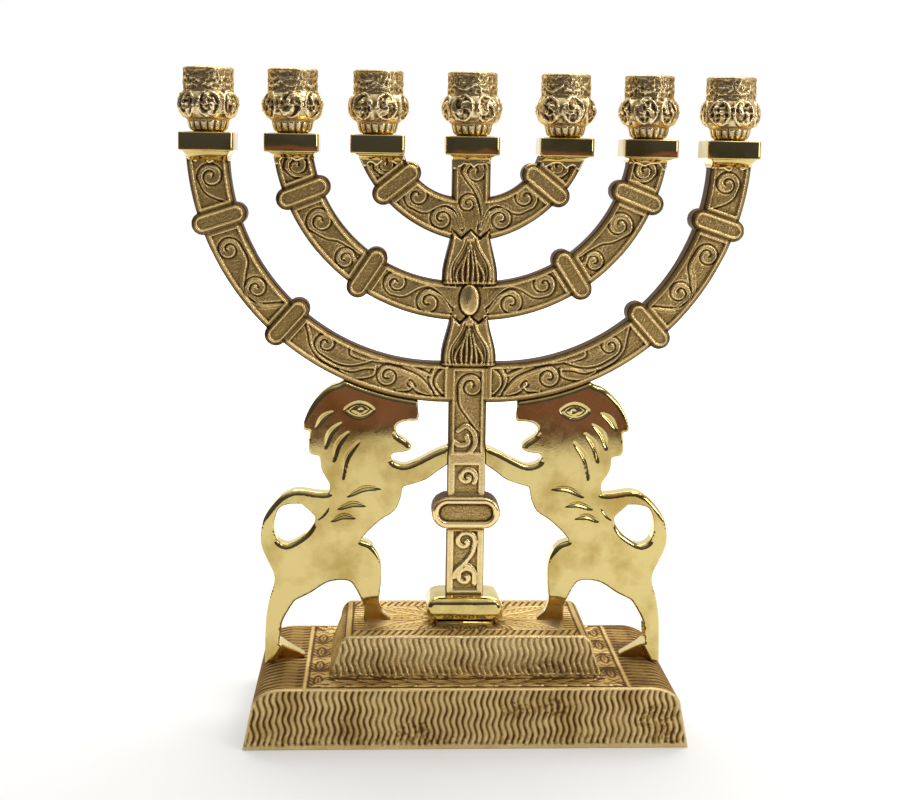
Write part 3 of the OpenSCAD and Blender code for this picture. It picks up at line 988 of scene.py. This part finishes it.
def garland(x, y):
    """Pointed leaves in two crossing rows that overlap outward; height 0 to 1 and their veins."""
    ax = np.abs(x)
    best = np.full(x.shape, -0.25)
    pitch = 8.2
    for row, shift in ((1, 0.0), (-1, 0.45)):
        for k in range(-1, 2):
            start = (np.floor(ax / pitch - shift) + k + shift) * pitch
            u = (ax - start) / 11.5
            v = y - row * (0.4 + 2.9 * clamp(u) ** 1.3)
            half = 1.9 * np.sin(np.pi * clamp(u) ** 0.7)
            body = clamp(1 - (v / np.maximum(half, 0.05)) ** 2) ** 0.5 * (half > 0.1)
            lift = body * (0.5 + 0.5 * u) - 0.6 * hump(v, 0.3) * body * (u < 0.85)
            best = np.maximum(best, lift)
    return best


# Places on the tops of the steps, as distances from the middle along the outline (Q) or across (Y)
PALM_Q, RIB_Q, LAUREL_Y = 53.4, 57.7, 20.6
FEATHER_Y, COMB_Q, HATCH_Q = (14.2, 19.3), (36.6, 41.2), 44.6


def lower_top_relief(q, x, y):
    """Height and tone; q is the way along the outline, equal to x on the flat top."""
    aq, ay = np.abs(q), np.abs(y)
    half_d = LOWER_D / 2
    foot = step(LOWER_RUN - 2.2, LOWER_RUN - 3, aq)
    worn = 1 - 0.7 * step(60.4, 61.6, aq) * step(67.5, 65.5, aq)
    rows = groove_rows(y, q, 3.1, 9, 0.35, 0.48) * step(58.4, 59.1, aq) * foot * worn
    palm = palmettes(aq - PALM_Q, -y * np.sign(q) + 5, 14.6)
    laurel = garland(x, ay - 28.2)
    at_end = aq > RIB_Q - 0.1
    h = np.where(at_end, 0.3 - 0.62 * rows, 0.3 - 0.6 * palm)
    tone = np.where(at_end, -0.06 - 0.6 * rows, 0.06 - 0.62 * palm)
    mitre = aq - 47 < (ay - LAUREL_Y) * 0.85
    in_laurel = (aq < RIB_Q - 0.5) & (ay > LAUREL_Y) & mitre
    crumbs = hills(x, y, 0.9, 41) * step(24.2, 22.8, ay)
    h = np.where(in_laurel, np.maximum(0.7 * laurel, 0.6 * crumbs), h)
    tone = np.where(in_laurel, -0.55 + np.maximum(1.2 * laurel, 1.0 * crumbs), tone)
    within = ay < half_d - 1.3
    rib = within & (np.abs(aq - RIB_Q) < 0.6)
    groove = 0.5 * hump(aq - RIB_Q + 0.9, 0.3) * within
    h, tone = np.where(rib, 0.36, h) - groove, np.where(rib, 0.2, tone) - groove
    rough = pits(q, y, 31, 0.8)
    rim = half_d - ay < 1.0
    h = np.where(rim, 0.36, h - 0.35 * rough)
    tone = np.where(rim, 0.12, tone - 0.2 * rough)
    tone -= 0.14 * step(0.5, 0.9, hills(q, y, 12, 5))
    return h - edge_drop(half_d - ay + 0.1, 0.5), tone


# Leaves on the top step, as angle, x and y of the base, length and half width
LEAVES = [(0, 13.5, 0.0, 22, 3.2), (24, 12.5, 3.4, 23, 2.9), (52, 11.0, 6.4, 10.5, 2.1),
          (106, 7.0, 8.2, 6.4, 1.6), (84, 1.5, 9.0, 5.6, 1.7)]


def leaf_cuts(x, y):
    """Engraved leaves that spread from the stem's foot."""
    cut = np.zeros(x.shape)
    for angle, x0, y0, length, half in LEAVES:
        cut = np.maximum(cut, leaf(np.abs(x), np.abs(y), (x0, y0), angle, length, half))
    return cut


def from_lines(value, period):
    """Distance to the nearest of many lines that are period mm apart."""
    return np.abs(value / period % 1 - 0.5) * period


def upper_top_relief(q, x, y):
    """The same for the upper step: leaves in the middle, with feathers, combs and hatching round."""
    aq, ay = np.abs(q), np.abs(y)
    half_d = UPPER["depth"] / 2
    in_feather = (band_sd(ay, *FEATHER_Y) < 0) & (aq < COMB_Q[1])
    in_comb = (band_sd(aq, *COMB_Q) < 0) & ~in_feather
    in_leaves = (aq < COMB_Q[0] - 0.4) & (ay < FEATHER_Y[0] - 0.5)
    in_hatch = (aq > HATCH_Q) & (aq < UPPER_RUN - 0.6)
    cut = in_feather * hump(from_lines(x - y * 0.42, 2.55), 0.4)
    cut += in_comb * hump(from_lines(y, 2.5), 0.6) + in_leaves * 0.9 * leaf_cuts(x, y)
    cut += in_hatch * hump(from_lines(y + aq * 0.8, 3.3), 0.75)
    for line in (COMB_Q[1] + 0.3, HATCH_Q - 0.5):
        cut = np.maximum(cut, hump(aq - line, 0.32))
    cut = np.maximum(cut, (aq < COMB_Q[0]) * hump(ay - FEATHER_Y[0] + 0.3, 0.3))
    cut = np.where(half_d - ay < 0.9, 0, np.minimum(cut, 1))
    tone = 0.15 - 0.62 * cut - 0.1 * step(0.5, 0.9, hills(q, y, 9, 8))
    tone -= 0.35 * cut * (aq > HATCH_Q)
    return 0.34 - (0.6 + 0.3 * (aq > HATCH_Q)) * cut - edge_drop(half_d - ay + 0.1, 0.5), tone


def outline_run(block):
    right = block_outline(block)
    return np.hypot(*np.diff(right, axis=0).T).sum()


LOWER_RUN = outline_run(LOWER)
UPPER_RUN = outline_run(UPPER)


def build_top(name, block, relief, material, gap):
    """A closed skin over a step's ends and top, swept along its depth."""
    right = block_outline(block)
    line = resampled(np.vstack([right, right[-2::-1] * [-1, 1]]), gap)
    normal = normals(line)
    half_d = block["depth"] / 2 + 0.1
    ys = np.linspace(-half_d, half_d, int(2 * half_d / gap) + 1)
    n, m = len(line), len(ys)
    run = outline_run(block)
    q, y = np.meshgrid(np.linspace(run, -run, n), ys, indexing="ij")
    h, tone = relief(q, np.repeat(line[:, :1], m, 1), y)
    h = np.maximum(h + SKIN + rng.normal(0, 0.02, h.shape), 0.02)
    x, z = line[:, :1] + normal[:, :1] * h, line[:, 1:] + normal[:, 1:] * h
    outer = np.stack([x, y, np.maximum(z, block["low"])], -1).reshape(-1, 3)
    tone = tone.ravel()
    index = np.arange(n * m).reshape(n, m)
    quads = np.stack([index[:-1, :-1], index[:-1, 1:], index[1:, 1:], index[1:, :-1]], -1).reshape(-1, 4)
    edges, rim, place = rim_of(quads, n * m)
    place += n * m
    rows = rim // m
    sunk = np.stack([line[rows, 0] - normal[rows, 0] * SUNK, ys[rim % m] * (1 - 1e-3),
                     np.maximum(line[rows, 1] - normal[rows, 1] * SUNK, block["low"])], 1)
    walls = np.stack([edges[:, 1], edges[:, 0], place[edges[:, 0]], place[edges[:, 1]]], 1)
    strips = np.stack([place[index[1:-2, 0]], place[index[2:-1, 0]],
                       place[index[2:-1, -1]], place[index[1:-2, -1]]], 1)
    ends = [np.array([np.concatenate([place[index[1, :1]], place[index[1, -1:]], place[index[0, ::-1]]])]),
            np.array([np.concatenate([place[index[-1, :]], place[index[-2, -1:]], place[index[-2, :1]]])])]
    points = np.vstack([outer, sunk])
    layers = {"relief": np.concatenate([tone, tone[rim]]), "polish": np.zeros(len(points))}
    add_piece(name, points, [quads, walls, strips] + ends, material, layers=layers)


# ---- candle cups ----

CUP_TURNS = [200, 37, 262, 118, 305, 74, 156]      # how far each cup is turned, in degrees
BORE_R, BORE_FLOOR, POCKET_R, POCKET_FLOOR, HOLE_R = 6.75, 8.0, 4.2, 4.0, 2.05
NECK_R, BELLY_R, BELLY_Z = 9.0, 10.9, 9.9
MEDALLIONS, MEDALLION_HALF_W, MEDALLION_HALF_H = 7, 4.0, 4.6


def cup_outline():
    """Half section of a cup as (radius, height), and how many of its points are ornamented."""
    a = np.radians(np.linspace(-60, 46, 40))
    outer = np.vstack([[(HOLE_R, 0), (5.0, 0), (5.4, 0.15), (6.6, 1.7), (7.2, 4)],
                       np.stack([BELLY_R - 6 + 6 * np.cos(a), BELLY_Z + 6 * np.sin(a)], 1),
                       [(NECK_R, 14.9), (NECK_R, CUP_H - 0.8)]])
    outer = resampled(outer, 0.24)
    lip = np.radians(np.linspace(0, 180, 9))
    mid = (NECK_R + BORE_R) / 2
    rim = np.stack([mid + (NECK_R - mid) * np.cos(lip), CUP_H - 0.8 + 0.8 * np.sin(lip)], 1)
    inner = [(BORE_R, 15), (BORE_R, BORE_FLOOR), (POCKET_R, BORE_FLOOR), (POCKET_R, POCKET_FLOOR),
             (HOLE_R, POCKET_FLOOR)]
    return np.vstack([outer, rim[1:], inner]), len(outer)


def foliage(angle, z, size, seed):
    """Crumpled leafwork: sharp bright creases between hollows, -1 to 1."""
    a = hills(angle * BELLY_R, z, size, seed) - 0.5
    b = hills(angle * BELLY_R, z, size * 0.55, seed + 3) - 0.5
    return 1 - 5.5 * np.abs(a) - 2.2 * np.abs(b)


def cup_relief(angle, z, seed):
    """Height of a cup's ornament: fluted foot, leafy medallions on the belly, leafy neck."""
    flutes = (0.6 * np.abs(np.cos(8.5 * angle)) ** 0.6 - 0.15) * step(0.3, 1.0, z) * step(4.4, 3.7, z)
    share = (angle / (2 * np.pi) * MEDALLIONS) % 1 - 0.5
    u = share * 2 * np.pi / MEDALLIONS * BELLY_R / MEDALLION_HALF_W
    v = (z - BELLY_Z) / MEDALLION_HALF_H
    r, phi = np.hypot(u, v), np.arctan2(v, u)
    rim = 0.62 * hump(r - 1, 0.1) * (0.85 + 0.3 * hills(angle * 9, z, 2, seed + 8))
    swirl = step(-0.1, 0.7, np.sin(2 * phi + 4.5 * r + seed))
    inside = step(0.98, 0.85, r)
    leaves = np.maximum(foliage(angle, z, 1.9, seed), -1)
    dish = inside * (-0.3 + 0.5 * swirl + 0.26 * leaves)
    plain = step(1.05, 1.15, r) * step(0.62, 0.5, hills(angle * 9, z, 6, seed + 11))
    between = (1 - inside) * (1 - plain) * (0.2 * leaves - 0.12)
    belly = (rim * 0.8 + dish + between) * step(4.8, 5.5, z) * step(15.2, 14.6, z)
    brim = 0.2 * hump(z - 22.2, 0.5) + 0.16 * hump(z - 19.2, 0.35)
    swag = 0.3 * hump(z - 16.6 - 1.9 * np.abs(share * 2) ** 1.5, 0.4)
    neck_leaves = np.maximum(foliage(angle, z, 1.5, seed + 20), -0.9)
    leafy = 0.08 + 0.14 * step(CUP_H - 0.8, CUP_H - 2.4, z)
    neck = step(14.6, 15.4, z) * step(CUP_H - 0.3, CUP_H - 0.9, z)
    collar = (swag + brim - 0.12 + leafy * neck_leaves) * neck
    polish = plain * step(4.9, 5.6, z) * step(15.0, 14.2, z)
    return flutes + belly + collar - 0.1 * polish, polish


def build_cup(i, material):
    """A cup with its ornament, turned about its own axis, with the bore and screw hole inside."""
    cup, around = "cup_%d" % (i + 1), 200
    outline, ornate = cup_outline()
    n = len(outline)
    angle = np.linspace(0, 2 * np.pi, around, endpoint=False)
    aa, zz = np.meshgrid(angle, outline[:ornate, 1])
    h, polish, out = np.zeros((n, around)), np.zeros((n, around)), np.zeros((n, 2))
    h[:ornate], polish[:ornate] = cup_relief(aa, zz, i + 1)
    h[:ornate] *= 0.85 * step(0.0, 0.6, zz)
    h[ornate:ornate + 4] = h[ornate - 1]
    out[:ornate] = normals(outline[:ornate])
    out[ornate:ornate + 4] = (1, 0)
    r, z = outline[:, :1] + out[:, :1] * h, outline[:, 1:] + out[:, 1:] * h
    turn = angle + math.radians(CUP_TURNS[i])
    points = np.stack([CUP_X[i] + r * np.cos(turn), r * np.sin(turn), PLATFORM_Z + z], -1)
    index = np.arange(n * around).reshape(n, around)
    after = np.roll(index, -1, 1)
    quads = np.stack([index, after, np.roll(after, -1, 0), np.roll(index, -1, 0)], -1).reshape(-1, 4)
    twice, half = np.tile(h, 2), around // 2
    soft = blurred(twice, np.ones(twice.shape, bool), 4)[:, half:half + around]
    tone = h - np.roll(soft, half, 1)
    layers = {"relief": tone.ravel(), "polish": polish.ravel()}
    add_piece(cup + "_ornate", points.reshape(-1, 3), [quads], material, cup, slot="cup_brass",
              body=cup, layers=layers)


# ---- materials ----

def new_material(name):
    material = bpy.data.materials.new(name)
    material.use_nodes = True
    tree = material.node_tree
    return material, tree, tree.nodes["Principled BSDF"]


def feed(tree, node, inputs):
    """Joins a node's inputs to output sockets, or sets them to plain values."""
    for key, source in inputs:
        if hasattr(source, "is_output"):
            tree.links.new(source, node.inputs[key])
        else:
            node.inputs[key].default_value = source


def add_node(tree, kind, inputs=(), **settings):
    node = tree.nodes.new("ShaderNode" + kind)
    for key, value in settings.items():
        setattr(node, key, value)
    feed(tree, node, inputs)
    return node


def noise(tree, scale, detail, rough=0.6):
    where = tree.nodes.get("Where") or add_node(tree, "TexCoord", name="Where")
    node = add_node(tree, "TexNoise", [("Vector", where.outputs["Object"]), ("Scale", scale),
                                       ("Detail", detail), ("Roughness", rough)])
    return node.outputs["Fac"]


def maths(tree, operation, a, b, c=None):
    pairs = [(0, a), (1, b)] + ([(2, c)] if c is not None else [])
    return add_node(tree, "Math", pairs, operation=operation).outputs[0]


def ramp(tree, value, stops):
    node = add_node(tree, "ValToRGB", [("Fac", value)])
    elements = node.color_ramp.elements
    while len(elements) < len(stops):
        elements.new(0.5)
    for element, (place, colour) in zip(elements, stops):
        element.position = place
        element.color = (*colour, 1)
    return node.outputs["Color"]


def spread(tree, value, low, high, to_low=0.0, to_high=1.0):
    node = add_node(tree, "MapRange", [("Value", value), ("From Min", low), ("From Max", high),
                                       ("To Min", to_low), ("To Max", to_high)])
    return node.outputs["Result"]


def layer(tree, name):
    return add_node(tree, "Attribute", attribute_name=name).outputs["Fac"]


def metal(tree, shader, colour, rough, metallic, height, bump, size):
    """Joins up a metal's colour, roughness and fine bumps, of a size in metres."""
    bumps = add_node(tree, "Bump", [("Height", height), ("Strength", bump), ("Distance", size)])
    feed(tree, shader, [("Base Color", colour), ("Roughness", rough), ("Metallic", metallic),
                        ("Normal", bumps.outputs["Normal"])])


def relief_brass(name, dark, mid, bright, span, rough, gloss, grain, metallic):
    """Cast brass: dark in hollows span mm deep, rubbed bright on ridges as high."""
    material, tree, shader = new_material(name)
    polish = layer(tree, "polish")
    tone = spread(tree, layer(tree, "relief"), -span, span)
    tone = maths(tree, "ADD", tone, maths(tree, "MULTIPLY_ADD", noise(tree, 90, 4), 0.36, -0.18))
    tone = maths(tree, "ADD", tone, maths(tree, "MULTIPLY_ADD", noise(tree, 1900, 2), 0.34, -0.17))
    # polish lightens the colour; below zero, on the frame's border bevels and knop borders, it darkens it as
    # painted shade
    tone = maths(tree, "ADD", tone, maths(tree, "MULTIPLY", polish, 0.22))
    colour = ramp(tree, tone, [(0.08, dark), (0.47, mid), (0.86, bright)])
    roughness = maths(tree, "MULTIPLY", spread(tree, tone, 0.2, 0.9, rough, gloss),
                      spread(tree, polish, 0, 1, 1.0, 0.6))
    shine = spread(tree, tone, 0.05, 0.6, metallic * 0.45, metallic)
    fine = maths(tree, "ADD", noise(tree, 2600, 2), maths(tree, "MULTIPLY", noise(tree, 900, 3), 1.2))
    height = maths(tree, "MULTIPLY", fine, spread(tree, polish, 0, 1, 1.0, 0.12))
    metal(tree, shader, colour, roughness, shine, height, grain, 0.00022)
    feed(tree, shader, [("Specular IOR Level", 0.25), ("Specular Tint", (0.62, 0.43, 0.2, 1))])
    return material


def polished_brass(name, colour, rough, wave, size):
    """Ground and polished brass: a slightly wavy face, fine scratches, patches of brown, and browner where
    the polish layer is set, a painted reflection of the base on the lions' sloped toes.
    """
    material, tree, shader = new_material(name)
    dull, brown = tuple(c * f for c, f in zip(colour, (0.72, 0.66, 0.5))), (0.50, 0.25, 0.06)
    # worn mixes random brown patches with the polish layer; on the lions' sloped toes that layer paints the
    # base's brown reflection
    worn = maths(tree, "SUBTRACT", noise(tree, 55, 5), maths(tree, "MULTIPLY", layer(tree, "polish"), 0.35))
    fine_rough = spread(tree, noise(tree, 260, 4), 0.3, 0.75, rough * 0.7, rough * 1.5)
    roughness = maths(tree, "MULTIPLY_ADD", layer(tree, "polish"), 0.22, fine_rough)
    scratches = maths(tree, "MULTIPLY", noise(tree, 1400, 2), 0.012)
    height = maths(tree, "ADD", noise(tree, size, 1, 0.3), scratches)
    metal(tree, shader, ramp(tree, worn, [(0.12, brown), (0.38, dull), (0.56, colour)]), roughness, 1.0,
          height, wave, 0.0022)
    return material


def plain_metal(name, low, high, patches, rough, rough_size, metallic, grain, bump, size):
    """A metal whose colour and roughness drift between two values each."""
    material, tree, shader = new_material(name)
    colour = ramp(tree, noise(tree, *patches), [(0.3, low), (0.7, high)])
    roughness = spread(tree, noise(tree, rough_size, 3), 0.3, 0.7, *rough)
    metal(tree, shader, colour, roughness, metallic, noise(tree, *grain), bump, size)
    return material


def steel_material():
    return plain_metal("machine_steel", (0.36, 0.35, 0.33), (0.6, 0.59, 0.57), (700, 4),
                       (0.28, 0.5), 300, 1.0, (1500, 2), bump=0.25, size=0.0001)


def rough_casting():
    """The sand-cast inside of the base."""
    return plain_metal("rough_casting", (0.16, 0.10, 0.045), (0.42, 0.30, 0.13), (120, 5),
                       (0.45, 0.75), 400, 0.8, (800, 5), bump=0.6, size=0.0003)


def dress_node(node, material):
    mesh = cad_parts[node].data
    mesh.materials.clear()
    mesh.materials.append(material)


# ---- stage, lights and camera ----

CAMERA_AT = (-0.0315, -0.5082, 0.2095)
PITCH, YAW, ROLL = 5.95, 3.18, 0.95
LENS, SHIFT_Y = 54.36, -0.1067
FLOOR_FRONT = -0.505               # the pale floor ends here, short of the camera
FLOOR_GLOW = 0.42                  # light the floor gives off near the object


def build_floor():
    """The pale floor under the object, which gives off a little light."""
    bpy.ops.mesh.primitive_plane_add(size=1)
    floor = bpy.context.object
    floor.name = "floor"
    floor.scale = (3.2, 3.0, 1)
    floor.location = (0, FLOOR_FRONT + 1.5, 0)
    material, tree, shader = new_material("pale_floor")
    where = add_node(tree, "TexCoord")
    split = add_node(tree, "SeparateXYZ", [("Vector", where.outputs["Object"])])
    near = spread(tree, split.outputs["Y"], -0.55, -0.15, 0.12, FLOOR_GLOW)
    far = spread(tree, split.outputs["Y"], -0.28, -0.05, 0.0, 0.7)
    feed(tree, shader, [("Base Color", (0.62, 0.62, 0.62, 1)), ("Roughness", 0.9),
                        ("Specular IOR Level", 0.0), ("Emission Color", (1, 1, 1, 1)),
                        ("Emission Strength", maths(tree, "ADD", near, far))])
    floor.data.materials.append(material)


def build_world():
    """White behind the object and to its right; in front a dim room above the pale floor."""
    world = bpy.data.worlds.new("studio")
    bpy.context.scene.world = world
    world.use_nodes = True
    tree = world.node_tree
    tree.nodes.clear()
    where = add_node(tree, "TexCoord")
    split = add_node(tree, "SeparateXYZ", [("Vector", where.outputs["Generated"])])
    wobble = add_node(tree, "TexNoise", [("Vector", where.outputs["Generated"]), ("Scale", 2.2),
                                         ("Detail", 2.0)])
    level = maths(tree, "ADD", split.outputs["Z"], -0.02)
    up = maths(tree, "MULTIPLY_ADD", wobble.outputs["Fac"], 0.04, level)
    room = ramp(tree, spread(tree, up, -0.5, 1.0), [
        (0.194, (0.05, 0.035, 0.03)), (0.209, (0.29, 0.14, 0.12)), (0.245, (0.23, 0.11, 0.10)),
        (0.27, (0.07, 0.075, 0.085)), (0.42, (0.08, 0.08, 0.115)), (0.68, (0.12, 0.12, 0.12)),
        (0.84, (0.6, 0.6, 0.56)), (0.97, (1.0, 1.0, 0.97))])
    side = maths(tree, "MULTIPLY_ADD", split.outputs["X"], 0.415, split.outputs["Y"])
    around = add_node(tree, "Mix", [("Factor", spread(tree, side, 0.06, 0.26)), (6, room),
                                    (7, (1.12, 1.11, 1.09, 1))], data_type="RGBA")
    rays = add_node(tree, "LightPath")
    white = add_node(tree, "Background", [("Color", (1, 1, 1, 1)), ("Strength", 1.02)])
    dim = add_node(tree, "Background", [("Color", around.outputs[2]), ("Strength", 0.9)])
    mix = add_node(tree, "MixShader", [("Fac", rays.outputs["Is Camera Ray"]),
                                       (1, dim.outputs[0]), (2, white.outputs[0])])
    add_node(tree, "OutputWorld", [("Surface", mix.outputs[0])])


def add_light(name, place, target, size, power, colour=(1, 1, 1)):
    """An area light at a place, facing a target."""
    light = bpy.data.lights.new(name, "AREA")
    light.shape = "RECTANGLE"
    light.size, light.size_y = size
    light.energy = power
    light.color = colour
    piece = new_object(name, light)
    piece.location = place
    direction = np.array(target) - np.array(place)
    yaw = math.atan2(direction[0], -direction[1])
    pitch = math.atan2(math.hypot(direction[0], direction[1]), -direction[2])
    piece.rotation_euler = (pitch, 0, yaw + math.pi)


def build_lights():
    middle = (0, 0, 0.12)
    add_light("overhead", (0.1, 0.32, 0.95), middle, (1.0, 0.7), 6.6)
    add_light("window", (0.74, -0.62, 0.34), middle, (0.2, 0.42), 1.7, (1, 0.99, 0.96))
    add_light("high", (0.42, -0.42, 0.82), middle, (0.45, 0.3), 1.5, (1, 0.97, 0.92))


def build_camera():
    data = bpy.data.cameras.new("camera")
    data.sensor_width = 36
    data.lens = LENS
    data.shift_y = SHIFT_Y
    data.clip_start = 0.01
    camera = new_object("camera", data)
    camera.location = CAMERA_AT
    camera.rotation_mode = "XYZ"
    turn = Matrix.Rotation(math.radians(-YAW), 4, "Z")
    tilt = Matrix.Rotation(math.radians(90 - PITCH), 4, "X")
    roll = Matrix.Rotation(math.radians(ROLL), 4, "Z")
    camera.rotation_euler = (turn @ tilt @ roll).to_euler()
    bpy.context.scene.camera = camera


# ---- the whole menorah ----

def main():
    frame_brass = relief_brass("frame_brass", (0.06, 0.03, 0.01), (0.52, 0.34, 0.115), (1.0, 0.78, 0.38),
                               span=0.32, rough=0.46, gloss=0.2, grain=0.5, metallic=0.9)
    base_brass = relief_brass("base_brass", (0.10, 0.045, 0.014), (0.48, 0.318, 0.108), (0.89, 0.705, 0.37),
                              span=0.34, rough=0.44, gloss=0.26, grain=0.75, metallic=0.85)
    cup_brass = relief_brass("cup_brass", (0.05, 0.025, 0.012), (0.50, 0.35, 0.15), (1.0, 0.84, 0.52),
                             span=0.22, rough=0.4, gloss=0.14, grain=0.35, metallic=0.93)
    lion_brass = polished_brass("lion_brass", (0.74, 0.59, 0.24), rough=0.07, wave=0.14, size=38)
    block_brass = polished_brass("block_brass", (0.74, 0.58, 0.23), rough=0.05, wave=0.42, size=85)
    steel = steel_material()

    build_stem(frame_brass)
    for name in ARMS:
        build_arm(name, frame_brass)
    for i in range(7):
        build_platform(i, block_brass)
        build_cup(i, cup_brass)
    build_foot(block_brass)
    build_lions(lion_brass)
    build_band("base_lower", LOWER, base_brass, strip=1.2, seed=11)
    build_band("base_upper", UPPER, base_brass, strip=0.3, seed=21)
    build_top("base_lower_top", LOWER, lower_top_relief, base_brass, gap=0.42)
    build_top("base_upper_top", UPPER, upper_top_relief, base_brass, gap=0.3)
    dress_node("base", rough_casting())
    for node in ("cup_screws", "stem_bolt", "stem_washer", "lion_screws"):
        dress_node(node, steel)
    build_floor()
    build_world()
    build_lights()
    build_camera()
    bpy.context.scene.view_settings.view_transform = "Standard"


main()
